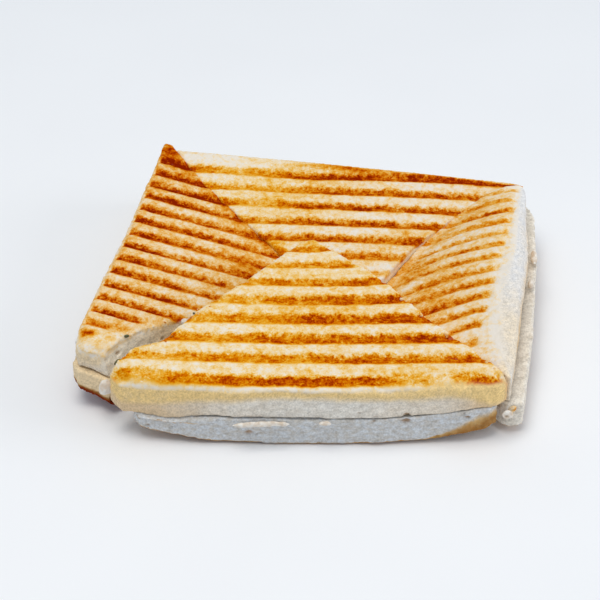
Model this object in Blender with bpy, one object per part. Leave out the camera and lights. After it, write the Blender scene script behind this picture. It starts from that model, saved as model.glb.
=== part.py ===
"""A grilled vegetable and cheese sandwich, cut crosswise into four wedges that lie together as a square.

Each wedge is a top and a bottom slice of white bread with a thin filling between them, and its top
slice carries the ridge marks of the grill. The left, back and right wedges lie flat with their
outer corners curled up. The front wedge stands on its front edge and leans on the tips of the
others. The model is in metres, with +Z up, the front wedge towards -Y, and its origin on the floor
under the middle of its box.
"""

import math
from dataclasses import dataclass

import bmesh
import bpy
from mathutils import Vector

MM = 0.001

# The middle of the sandwich's box in the plan that the outlines below are drawn in
PLAN_CENTRE = (5.4 * MM, -7.6 * MM)

# Bread and filling
SEAM_SHARE = 0.46          # how far up the filling lies, from the underside to the toasted top
FILLING_HALF = 0.45 * MM   # half the thickness of the filling
FILLING_INSET = 1.3 * MM   # how far the filling stays behind the bread
GAP = 0.35 * MM            # clearance between pieces that touch

# The underside: flat in the middle, and curled up towards the left and right sides
CURL_MIDDLE_X = 5.6 * MM
FLAT_HALF = 40.0 * MM      # half the width of the flat part
CURL_WIDTH = 31.0 * MM
CURL_HEIGHT = 6.2 * MM
CURL_POWER = 1.8

# The front wedge leans: its front edge is on the floor and its tip on the other wedges
LEAN_FRONT_Y = -71.0 * MM
LEAN_SLOPE = 0.281
LEAN_CURL = 3.0 * MM       # how far the ends of its front edge curl up
LEAN_CURL_START = 24.0 * MM
LEAN_CURL_END = 54.0 * MM
LEAN_MIDDLE_X = 4.0 * MM

# Marks of the grill's ridges
RIDGE_WIDTH = 4.4 * MM
RIDGE_DEPTH = 0.8 * MM
RIDGE_FADE = 3.0 * MM      # over which a mark runs out at its end

# Edges
CUT_ROUND = 1.6 * MM       # how far in the knife rounded the cut edges
CUT_DROP = 0.5 * MM
SOLE_ROUND = 2.5 * MM      # rounding of the lower edge
SOLE_LIFT = 1.1 * MM

# Mesh density
COLUMNS = 9
PLAIN_ROW = 10.0 * MM
ROW_CLEARANCE = 0.9 * MM   # rows closer than this are one row
LONGEST_RUN = 16.0 * MM    # the furthest that a row's end may lie from the next one's, along the rows
END_INSET = 0.6 * MM       # how far the first and the last row stay from the outline's ends
EDGE_CROWDING = 0.75       # how strongly columns crowd towards both ends of a row


@dataclass
class Side:
    """One outer side of the bread: its points in plan, and how its shoulder rounds off."""

    points: list
    width: float
    drop: float


@dataclass
class Wedge:
    """One quarter of the sandwich. Corners and outlines are in plan, anticlockwise from above."""

    name: str
    corner_a: tuple        # outer corners and tip, between which the top's height is worked out
    corner_b: tuple
    tip: tuple
    heights: tuple         # of the toasted top at corner a, corner b and the tip
    fall: float            # 1 falls evenly to the tip, more than 1 falls steeper near the tip
    bulge: float           # how much higher the middle of the outer edge is
    outline: list          # of the top slice
    sole: list             # of the bottom slice
    sides: list
    angle: float           # of the grill marks, in degrees from +X
    pitch: float
    first: float           # where mark 0 would be, across the marks towards the viewer
    marks: range
    mark_ends: list        # the line where the marks stop, or None where they reach the outer side


def mm(points):
    return [(x * MM, y * MM) for x, y in points]


LEFT = Wedge(
    name="left",
    corner_a=(-46.0 * MM, 55.0 * MM),
    corner_b=(-64.5 * MM, -51.0 * MM),
    tip=(2.0 * MM, -5.5 * MM),
    heights=(23.5 * MM, 22.0 * MM, 14.0 * MM),
    fall=1.0,
    bulge=0.5 * MM,
    outline=mm([(-44.2, 59.2), (-45.8, 59.2), (-54.8, 2.4), (-64.8, -48.3), (-63.2, -52.6), (-56.6, -53.8),
                (-47.6, -44.4), (-30, -31), (0.8, -7.6), (-1.1, -4.4), (-5.9, 1.1), (-19.4, 19.7),
                (-31.2, 36.3), (-43, 56.6)]),
    sole=mm([(-44.4, 58), (-46, 58), (-56, 1.4), (-65.8, -50), (-64, -54), (-54.4, -56.6),
             (-46.6, -44.4), (-30, -31), (0.8, -7.6), (-1.1, -4.4), (-5.9, 1.1), (-19.4, 19.7),
             (-31.2, 36.3), (-43, 56.6)]),
    sides=[Side(mm([(-44.2, 59.2), (-45.8, 59.2), (-54.8, 2.4), (-64.8, -48.3)]), 2.0 * MM, 0.7 * MM),
           Side(mm([(-64.8, -48.3), (-63.2, -52.6), (-56.6, -53.8)]), 6.0 * MM, 3.6 * MM)],
    angle=-13.0,
    pitch=7.1 * MM,
    first=-42.8 * MM,
    marks=range(1, 16),
    mark_ends=None,
)

BACK = Wedge(
    name="back",
    corner_a=(-41.5 * MM, 54.0 * MM),
    corner_b=(65.0 * MM, 36.0 * MM),
    tip=(16.5 * MM, -23.5 * MM),
    heights=(22.5 * MM, 21.5 * MM, 13.8 * MM),
    fall=1.0,
    bulge=0.5 * MM,
    outline=mm([(73, 36.6), (16.5, 46.4), (-42, 56.8), (-30.8, 37), (-18.9, 20.3), (-5.2, 1.8),
                (14, -22), (18.6, -22), (24.5, -11.2), (36.4, 6.4), (51.2, 22), (61, 30.4)]),
    sole=mm([(72.4, 36.6), (16.5, 46.8), (-42, 56.8), (-30.8, 37), (-18.9, 20.3), (-5.2, 1.8),
             (14, -22), (18.6, -22), (24.5, -11.2), (36.4, 6.4), (51.2, 22), (61, 30.4)]),
    sides=[Side(mm([(73, 36.6), (16.5, 46.4), (-42, 56.8)]), 1.8 * MM, 0.7 * MM)],
    angle=-4.2,
    pitch=7.84 * MM,
    first=-48.7 * MM,
    marks=range(1, 8),
    mark_ends=None,
)

RIGHT = Wedge(
    name="right",
    corner_a=(64.0 * MM, 35.5 * MM),
    corner_b=(58.8 * MM, -64.0 * MM),
    tip=(17.0 * MM, -26.0 * MM),
    heights=(21.0 * MM, 21.0 * MM, 9.5 * MM),
    fall=1.3,
    bulge=4.0 * MM,
    outline=mm([(61.6, 29.8), (51.8, 21.5), (38.4, 7.6), (25.4, -11.6), (19.5, -22.2), (18.5, -27.2),
                (26.2, -28.8), (39.2, -43.8), (59.4, -65.6), (65, -36), (69.6, -9), (73.6, 31.2), (73.5, 35.2)]),
    sole=mm([(61.6, 29.8), (51.8, 21.5), (38.4, 7.6), (25.4, -11.6), (19.5, -22.2), (18.5, -27.2),
             (26.2, -28.8), (39.2, -43.8), (58.4, -66), (63.2, -66.4), (68.6, -38), (73.6, -3), (76.6, 28), (74.8, 35.8)]),
    sides=[Side(mm([(59.4, -65.6), (65, -36), (69.6, -9), (73.6, 31.2), (73.5, 35.2)]), 6.0 * MM, 3.0 * MM)],
    angle=3.0,
    pitch=6.62 * MM,
    first=-32.8 * MM,
    marks=range(1, 15),
    mark_ends=mm([(51, -50), (61, -15), (71.5, 30)]),
)

FRONT = Wedge(
    name="front",
    corner_a=(-53.0 * MM, -64.5 * MM),
    corner_b=(58.0 * MM, -66.5 * MM),
    tip=(2.5 * MM, -9.0 * MM),
    heights=(22.0 * MM, 22.0 * MM, 28.2 * MM),
    fall=0.9,
    bulge=-1.0 * MM,
    outline=mm([(3.6, -7.8), (1.4, -7.8), (-15.4, -25.8), (-30.2, -40.6), (-39.4, -52.6), (-48, -56.2), (-53.6, -64),
                (-50.5, -67.6), (-25, -71.2), (3, -72.4), (30, -72), (54.5, -69.4), (58, -67.2), (37.6, -45),
                (24.3, -26.8)]),
    sole=mm([(3.6, -7.8), (1.4, -7.8), (-15.4, -25.8), (-30.2, -40.6), (-39, -53), (-45, -60), (-47.2, -66),
             (-45.5, -69), (-25, -71.4), (3, -72.2), (30, -71.8), (53, -69.4), (56.6, -66.8), (37.6, -45),
             (24.3, -26.8)]),
    sides=[Side(mm([(-53.6, -64), (-50.5, -67.6), (-25, -71.2), (3, -72.4), (30, -72), (54.5, -69.4), (58, -67.2)]),
                4.0 * MM, 2.8 * MM)],
    angle=-0.9,
    pitch=8.03 * MM,
    first=-52.7 * MM,
    marks=range(8, 16),
    mark_ends=None,
)

WEDGES = [LEFT, BACK, RIGHT, FRONT]

# Filling that shows outside the bread: name, middle, half sizes in mm, turn in degrees
LUMPS = [
    ("left_corner_cheese", (-55.6, -58.5, 10.4), (2.3, 1.6, 2.6), 8),
    ("left_gap_cheese", (-33.2, -37.2, 12.6), (2.6, 1.5, 3.9), 38),
    ("left_pepper", (-52.6, -51.5, 14.2), (1.6, 0.55, 0.9), 46),
    ("right_corner_cheese", (58.4, -69.5, 9.2), (1.9, 1.4, 2.4), 30),
    ("right_side_cheese_1", (73.3, 1.5, 15.6), (1.1, 4.2, 1.3), -6),
    ("right_side_cheese_2", (70.6, -13.5, 15.4), (1.0, 2.0, 1.2), -10),
    ("front_cheese_1", (-11.0, -73.0, 8.6), (8.6, 0.8, 0.9), 2),
    ("front_cheese_2", (7.0, -73.4, 9.2), (2.0, 0.8, 0.8), 0),
]


def smooth(x):
    x = min(max(x, 0.0), 1.0)
    return x * x * (3.0 - 2.0 * x)


def distance_to(points, x, y):
    """Distance in plan from a point to a line of points."""
    nearest = math.inf
    here = Vector((x, y))
    for start, end in zip(points, points[1:]):
        a = Vector(start)
        along = Vector(end) - a
        share = min(max((here - a).dot(along) / along.length_squared, 0.0), 1.0)
        nearest = min(nearest, (here - a - along * share).length)
    return nearest


def inside_of(points, x, y):
    """Distance to a line of points, and negative on the right-hand side of its course."""
    start, end = Vector(points[0]), Vector(points[-1])
    course, here = end - start, Vector((x, y)) - start
    side = course.x * here.y - course.y * here.x
    return math.copysign(distance_to(points, x, y), side)


def across(wedge, x, y):
    """How far a point lies across the wedge's grill marks, towards the viewer."""
    turn = math.radians(wedge.angle)
    return math.sin(turn) * x - math.cos(turn) * y


def along(wedge, x, y):
    turn = math.radians(wedge.angle)
    return math.cos(turn) * x + math.sin(turn) * y


def plain_top(wedge, x, y):
    """Height of the toasted top without its marks and shoulders, from the heights of its corners."""
    (ax, ay), (bx, by), (tx, ty) = wedge.corner_a, wedge.corner_b, wedge.tip
    height_a, height_b, height_tip = wedge.heights
    whole = (by - ty) * (ax - tx) + (tx - bx) * (ay - ty)
    share_a = ((by - ty) * (x - tx) + (tx - bx) * (y - ty)) / whole
    share_b = ((ty - ay) * (x - tx) + (ax - tx) * (y - ty)) / whole
    outwards = min(max(share_a + share_b, 1e-4), 1.0)
    sideways = min(max(share_b / max(share_a + share_b, 1e-4), 0.0), 1.0)
    edge = height_a + (height_b - height_a) * sideways + wedge.bulge * 4.0 * sideways * (1.0 - sideways)
    return height_tip + (edge - height_tip) * (1.0 - (1.0 - outwards) ** wedge.fall)


def underside(wedge, x, y):
    """Height of the underside: curled up at the sides, and leaning for the front wedge."""
    if wedge is FRONT:
        ends = (abs(x - LEAN_MIDDLE_X) - LEAN_CURL_START) / (LEAN_CURL_END - LEAN_CURL_START)
        return max(y - LEAN_FRONT_Y, 0.0) * LEAN_SLOPE + LEAN_CURL * smooth(ends)
    outwards = max(abs(x - CURL_MIDDLE_X) - FLAT_HALF, 0.0) / CURL_WIDTH
    return CURL_HEIGHT * outwards ** CURL_POWER


def rounded(distance, width, drop):
    """How far a surface falls at a distance from its edge, as a quarter of an ellipse."""
    if distance >= width:
        return 0.0
    return drop * (1.0 - math.sqrt(1.0 - (1.0 - distance / width) ** 2))


def outer_distance(wedge, x, y):
    return min(distance_to(side.points, x, y) for side in wedge.sides)


def toasted_top(wedge, x, y):
    """The top slice's upper surface, with rounded edges and the marks of the grill."""
    height = plain_top(wedge, x, y)
    height -= sum(rounded(distance_to(side.points, x, y), side.width, side.drop) for side in wedge.sides)
    outline = wedge.outline + wedge.outline[:1]
    height -= rounded(distance_to(outline, x, y), CUT_ROUND, CUT_DROP)
    bare = outer_distance(wedge, x, y) if wedge.mark_ends is None else inside_of(wedge.mark_ends, x, y)
    number = round((across(wedge, x, y) - wedge.first) / wedge.pitch)
    if number in wedge.marks:
        off = abs(across(wedge, x, y) - wedge.first - number * wedge.pitch)
        mark = max(0.0, 1.0 - off / (RIDGE_WIDTH / 2))
        height -= RIDGE_DEPTH * mark * smooth(bare / RIDGE_FADE)
    return height


def seam(wedge, x, y):
    low = underside(wedge, x, y)
    return low + SEAM_SHARE * (plain_top(wedge, x, y) - low)


def sole_surface(wedge, x, y):
    """The bottom slice's lower surface, with its lower edge rounded up."""
    outline = wedge.sole + wedge.sole[:1]
    return underside(wedge, x, y) + rounded(distance_to(outline, x, y), SOLE_ROUND, SOLE_LIFT)


def inset(outline, width):
    """The outline moved inwards by a width, each side by itself."""
    count = len(outline)
    lines = []
    for i in range(count):
        start = Vector(outline[i])
        way = (Vector(outline[(i + 1) % count]) - start).normalized()
        lines.append((start + Vector((-way.y, way.x)) * width, way))
    moved = []
    for i in range(count):
        (p, u), (q, v) = lines[i - 1], lines[i]
        turn = u.x * v.y - u.y * v.x
        if abs(turn) < 1e-3:
            moved.append(tuple(q))
        else:
            step = ((q.x - p.x) * v.y - (q.y - p.y) * v.x) / turn
            moved.append(tuple(p + u * step))
    return moved


def row_ends(wedge, outline, station):
    """Where a line along the grill marks enters and leaves an outline."""
    found = []
    for i in range(len(outline)):
        a, b = outline[i - 1], outline[i]
        ta, tb = across(wedge, *a), across(wedge, *b)
        if (ta - station) * (tb - station) > 0 or ta == tb:
            continue
        share = (station - ta) / (tb - ta)
        found.append(along(wedge, *a) + share * (along(wedge, *b) - along(wedge, *a)))
    return min(found), max(found)


def stations(wedge, outline, wanted):
    """The rows of a mesh: through the outline's corners and points on its slanted sides, then the
    wanted rows that have room."""
    ends = [across(wedge, *p) for p in outline]
    low, high = min(ends) + END_INSET, max(ends) - END_INSET
    kept = [low, high]
    for i in range(len(outline)):
        run = along(wedge, *outline[i]) - along(wedge, *outline[i - 1])
        parts = max(math.ceil(abs(run) / LONGEST_RUN), 1)
        ends += [ends[i - 1] + (ends[i] - ends[i - 1]) * k / parts for k in range(1, parts)]
    for station in ends + list(wanted):
        if low < station < high and all(abs(station - k) > ROW_CLEARANCE for k in kept):
            kept.append(station)
    return sorted(kept)


def mark_rows(wedge):
    """Both edges and the bottom of each grill mark."""
    middles = [wedge.first + number * wedge.pitch for number in wedge.marks]
    return [m + step for m in middles for step in (0.0, -RIDGE_WIDTH / 2, RIDGE_WIDTH / 2)]


def plain_rows(wedge, outline):
    low = min(across(wedge, *p) for p in outline)
    high = max(across(wedge, *p) for p in outline)
    count = math.ceil((high - low) / PLAIN_ROW)
    return [low + (high - low) * i / count for i in range(count)]


def crowded(count):
    """Shares from 0 to 1 that lie closer together towards both ends."""
    even = [j / count for j in range(count + 1)]
    return [s - EDGE_CROWDING * math.sin(2 * math.pi * s) / (2 * math.pi) for s in even]


def material(name, color, roughness):
    made = bpy.data.materials.new(name)
    made.use_nodes = True
    shader = made.node_tree.nodes["Principled BSDF"]
    shader.inputs["Base Color"].default_value = (*color, 1.0)
    shader.inputs["Roughness"].default_value = roughness
    made.diffuse_color = (*color, 1.0)
    return made


def add_object(name, mesh_data, finish, parent):
    mesh = bpy.data.meshes.new(name)
    mesh_data.to_mesh(mesh)
    mesh_data.free()
    mesh.materials.append(finish)
    mesh.shade_smooth()
    mesh.set_sharp_from_angle(angle=math.radians(35.0))
    made = bpy.data.objects.new(name, mesh)
    bpy.context.scene.collection.objects.link(made)
    made.parent = parent
    return made


def layer(name, wedge, outline, rows, upper, lower, finish, parent):
    """A closed slab over an outline, between two surfaces given as functions of the plan."""
    turn = math.radians(wedge.angle)
    slab = bmesh.new()
    above, below = [], []
    for station in stations(wedge, outline, rows):
        first, last = row_ends(wedge, outline, station)
        ups, downs = [], []
        for share in crowded(COLUMNS):
            run = first + (last - first) * share
            x = math.cos(turn) * run + math.sin(turn) * station
            y = math.sin(turn) * run - math.cos(turn) * station
            ups.append(slab.verts.new((x, y, upper(wedge, x, y))))
            downs.append(slab.verts.new((x, y, lower(wedge, x, y))))
        above.append(ups)
        below.append(downs)
    for i in range(len(above) - 1):
        for j in range(COLUMNS):
            slab.faces.new((above[i][j], above[i + 1][j], above[i + 1][j + 1], above[i][j + 1]))
            slab.faces.new((below[i][j], below[i][j + 1], below[i + 1][j + 1], below[i + 1][j]))
        slab.faces.new((above[i][0], below[i][0], below[i + 1][0], above[i + 1][0]))
        slab.faces.new((above[i][-1], above[i + 1][-1], below[i + 1][-1], below[i][-1]))
    for j in range(COLUMNS):
        slab.faces.new((above[0][j], above[0][j + 1], below[0][j + 1], below[0][j]))
        slab.faces.new((above[-1][j], below[-1][j], below[-1][j + 1], above[-1][j + 1]))
    bmesh.ops.recalc_face_normals(slab, faces=slab.faces)
    return add_object(name, slab, finish, parent)


def top_slice(wedge, finish, parent):
    def lower(w, x, y):
        return seam(w, x, y) + FILLING_HALF + GAP

    layer(f"{wedge.name}_top_bread", wedge, wedge.outline, mark_rows(wedge),
          toasted_top, lower, finish, parent)


def filling(wedge, finish, parent):
    def upper(w, x, y):
        return seam(w, x, y) + FILLING_HALF

    def lower(w, x, y):
        return seam(w, x, y) - FILLING_HALF

    outline = inset(wedge.outline, FILLING_INSET)
    layer(f"{wedge.name}_filling", wedge, outline, plain_rows(wedge, outline),
          upper, lower, finish, parent)


def bottom_slice(wedge, finish, parent):
    def upper(w, x, y):
        return seam(w, x, y) - FILLING_HALF - GAP

    layer(f"{wedge.name}_bottom_bread", wedge, wedge.sole, plain_rows(wedge, wedge.sole),
          upper, sole_surface, finish, parent)


def lump(name, middle, half, turn, finish, parent):
    """An uneven blob of filling that has pushed out between the slices."""
    blob = bmesh.new()
    bmesh.ops.create_icosphere(blob, subdivisions=2, radius=1.0)
    spin = math.radians(turn)
    for vertex in blob.verts:
        x, y, z = vertex.co
        wobble = 1.0 + 0.12 * math.sin(3.0 * x + 2.0 * z) * math.cos(2.5 * y - z)
        x, y, z = x * half[0] * wobble, y * half[1] * wobble, z * half[2] * wobble
        vertex.co = Vector((middle[0] + x * math.cos(spin) - y * math.sin(spin),
                            middle[1] + x * math.sin(spin) + y * math.cos(spin), middle[2] + z)) * MM
    add_object(name, blob, finish, parent)


def main():
    for old in list(bpy.data.objects):
        bpy.data.objects.remove(old, do_unlink=True)
    toast = material("toasted_bread", (0.72, 0.42, 0.17), 0.75)
    crumb = material("white_bread", (0.80, 0.72, 0.58), 0.85)
    cheese = material("melted_cheese", (0.86, 0.82, 0.70), 0.45)
    vegetable = material("vegetable_filling", (0.62, 0.52, 0.36), 0.60)
    pepper = material("green_pepper", (0.10, 0.14, 0.05), 0.50)
    plan = bpy.data.objects.new("plan", None)
    plan.location = (-PLAN_CENTRE[0], -PLAN_CENTRE[1], 0.0)
    bpy.context.scene.collection.objects.link(plan)
    for wedge in WEDGES:
        top_slice(wedge, toast, plan)
        filling(wedge, vegetable, plan)
        bottom_slice(wedge, crumb, plan)
    for name, middle, half, turn in LUMPS:
        lump(name, middle, half, turn, pepper if "pepper" in name else cheese, plan)


main()
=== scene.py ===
# %% [markdown]
# # A grilled vegetable and cheese sandwich
# Two large slices of white bread with a filling between them were pressed in a ribbed grill and cut
# crosswise into four wedges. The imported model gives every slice, filling and lump of cheese its place.
# Here each of them is turned into bread, cheese or vegetable: finer in shape, uneven, and browned by
# the grill where the real one is.

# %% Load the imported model
import math
import bpy
import numpy as np
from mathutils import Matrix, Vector, kdtree


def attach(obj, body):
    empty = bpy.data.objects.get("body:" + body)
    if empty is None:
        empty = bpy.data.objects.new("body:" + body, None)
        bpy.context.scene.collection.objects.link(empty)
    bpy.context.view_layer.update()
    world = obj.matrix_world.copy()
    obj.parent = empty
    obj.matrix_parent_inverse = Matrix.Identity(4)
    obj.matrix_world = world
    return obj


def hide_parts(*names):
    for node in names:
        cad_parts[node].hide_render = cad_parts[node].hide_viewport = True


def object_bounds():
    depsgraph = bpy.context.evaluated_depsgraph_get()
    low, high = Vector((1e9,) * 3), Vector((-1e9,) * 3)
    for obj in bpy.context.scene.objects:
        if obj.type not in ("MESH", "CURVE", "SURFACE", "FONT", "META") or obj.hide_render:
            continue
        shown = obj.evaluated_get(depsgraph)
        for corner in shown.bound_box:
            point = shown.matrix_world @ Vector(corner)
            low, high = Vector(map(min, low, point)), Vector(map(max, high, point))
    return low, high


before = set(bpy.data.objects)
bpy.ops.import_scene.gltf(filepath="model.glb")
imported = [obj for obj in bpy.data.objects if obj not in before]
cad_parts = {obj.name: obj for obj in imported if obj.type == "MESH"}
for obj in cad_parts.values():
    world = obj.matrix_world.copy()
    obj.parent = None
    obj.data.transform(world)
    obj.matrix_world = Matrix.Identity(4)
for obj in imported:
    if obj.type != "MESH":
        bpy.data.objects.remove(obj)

CAD_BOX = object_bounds()
print("nodes:", len(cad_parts), "box:", [round(v * 1000, 1) for corner in CAD_BOX for v in corner])

# %% [markdown]
# The grill marks, the crust and the browned patches are laid out in a plan of the sandwich, seen from
# above, in millimetres. The plan's own origin is a little off the middle of the model. Blender works in
# metres, so each mesh is read into plan millimetres first and written back in metres.

# %% Plan millimetres
PLAN_X, PLAN_Y = 5.4, -7.6
PLAN_ORIGIN = (PLAN_X, PLAN_Y, 0.0)
MM_PER_METRE = 1000.0
FAR_AWAY = 1e9


def plan_points(mesh):
    """All vertices of a mesh in plan millimetres, one row each."""
    flat = np.empty(len(mesh.vertices) * 3)
    mesh.vertices.foreach_get("co", flat)
    return flat.reshape(-1, 3) * MM_PER_METRE + PLAN_ORIGIN


def write_points(mesh, points):
    """Puts the vertices of a mesh at these plan millimetres."""
    mesh.vertices.foreach_set("co", ((points - PLAN_ORIGIN) / MM_PER_METRE).ravel())
    mesh.update()


def vertex_normals(mesh):
    """The direction that each vertex of a mesh faces, one row each."""
    flat = np.empty(len(mesh.vertices) * 3)
    mesh.vertex_normals.foreach_get("vector", flat)
    return flat.reshape(-1, 3)


def distance_to_line(line, points):
    """Distance in plan from each point to a line of corners."""
    nearest = np.full(len(points), FAR_AWAY)
    for start, end in zip(line, line[1:]):
        a, way = np.array(start, float), np.array(end, float) - start
        share = np.clip((points[:, :2] - a) @ way / (way @ way), 0.0, 1.0)
        nearest = np.minimum(nearest, np.linalg.norm(points[:, :2] - a - share[:, None] * way, axis=1))
    return nearest


def smooth(x):
    """0 below 0, 1 above 1, and an even curve between."""
    x = np.clip(x, 0.0, 1.0)
    return x * x * (3.0 - 2.0 * x)


print("plan origin:", (PLAN_X, PLAN_Y), "mm")

# %% [markdown]
# The marks look alike at a glance, but no two are. Drawing them as one even pattern would show at
# once, so each wedge has its own: their angle and their pitch, and for each mark how brown it is and
# half its width in millimetres. Three corners and their heights give the face of the wedge's top, which
# `fall` and `bulge` curve a little. `outer` follows its outer sides, and `cut` its knife cuts.
#
# `between` is how brown the bread is between the marks, and `golden` how yellow its browning is, with
# `yellower` places added. `patches` are places that differ from the bread around them: middle, half
# sizes, turn in degrees, then how much browner the bread is there, and how much browner the marks are.
# `bends` shift the marks: middle, half sizes, how far to the back. `bare` is how far from the outer
# side the marks end, `flat` the share of a mark's width that is evenly brown, and `tan` how yellow the
# shoulder is below the toasted top, with `tanner` places added.

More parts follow.
